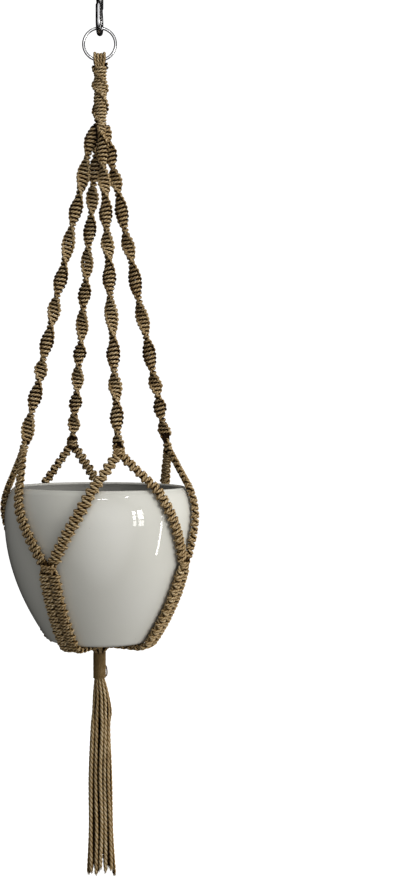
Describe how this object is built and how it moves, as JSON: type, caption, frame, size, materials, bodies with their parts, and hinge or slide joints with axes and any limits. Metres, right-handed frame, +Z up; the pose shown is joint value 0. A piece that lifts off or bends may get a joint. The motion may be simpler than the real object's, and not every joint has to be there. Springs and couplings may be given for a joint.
{
  "type": "hanging macrame planter",
  "caption": "Hanging planter: a round glazed pot held in a cradle of knotted cord, hung by spiral sinnets from a ring on an S-hook, with a long tassel underneath.",
  "frame": {"origin": "the hang point: the inside top of the S-hook, where it rests on what it hangs from", "axes": "+Z up; the front of the planter faces -Y and +X is to the right seen from the front; the ring lies in the XZ plane"},
  "size_m": [0.214, 0.2187, 0.9718],
  "materials": {
    "steel": "zinc plated, worn satin",
    "chrome": "polished",
    "jute": "twisted natural jute cord, matt and slightly hairy",
    "twine": "fine jute twine, wound tight",
    "glaze": "white gloss glaze"
  },
  "bodies": {
    "s_hook": {"s_hook": "steel"},
    "ring": {"ring": "chrome"},
    "hanger": {"loops_inner": "jute", "loops_outer": "jute", "crown_sinnet": "jute", "front_sinnet": "jute", "right_sinnet": "jute", "back_sinnet": "jute", "left_sinnet": "jute", "front_split_knot": "jute", "right_split_knot": "jute", "back_split_knot": "jute", "left_split_knot": "jute", "front_arm_left": "jute", "front_arm_right": "jute", "right_arm_left": "jute", "right_arm_right": "jute", "back_arm_left": "jute", "back_arm_right": "jute", "left_arm_left": "jute", "left_arm_right": "jute", "front_left_join_knot": "jute", "front_right_join_knot": "jute", "back_right_join_knot": "jute", "back_left_join_knot": "jute", "front_left_leg_left": "jute", "front_left_leg_right": "jute", "front_right_leg_left": "jute", "front_right_leg_right": "jute", "back_right_leg_left": "jute", "back_right_leg_right": "jute", "back_left_leg_left": "jute", "back_left_leg_right": "jute", "base_gather": "jute", "neck_wrap": "twine", "wrap_tail": "twine"},
    "pot": {"pot": "glaze"},
    "tassel": {"tassel_cord_1": "jute", "tassel_cord_2": "jute", "tassel_cord_3": "jute", "tassel_cord_4": "jute", "tassel_cord_5": "jute", "tassel_cord_6": "jute", "tassel_cord_7": "jute", "tassel_cord_8": "jute", "tassel_cord_9": "jute", "tassel_cord_10": "jute", "tassel_cord_11": "jute", "tassel_cord_12": "jute", "tassel_cord_13": "jute", "tassel_cord_14": "jute", "tassel_cord_15": "jute", "tassel_cord_16": "jute"}
  },
  "joints": [
    {"name": "ring_swing", "type": "hinge", "parent": "s_hook", "child": "ring", "pos_m": [0, 0, -0.0536], "axis": [0.0941, 0.9956, 0], "range_deg": [-60, 60]},
    {"name": "hanger_swing", "type": "hinge", "parent": "ring", "child": "hanger", "pos_m": [0, 0, -0.0833], "axis": [1, 0, 0], "range_deg": [-60, 60]},
    {"name": "pot_turn", "type": "hinge", "parent": "hanger", "child": "pot", "pos_m": [0, 0, -0.6], "axis": [0, 0, 1], "continuous": true},
    {"name": "tassel_swing", "type": "hinge", "parent": "hanger", "child": "tassel", "pos_m": [0, 0, -0.7545], "axis": [0, 1, 0], "range_deg": [-20, 20]}
  ]
}
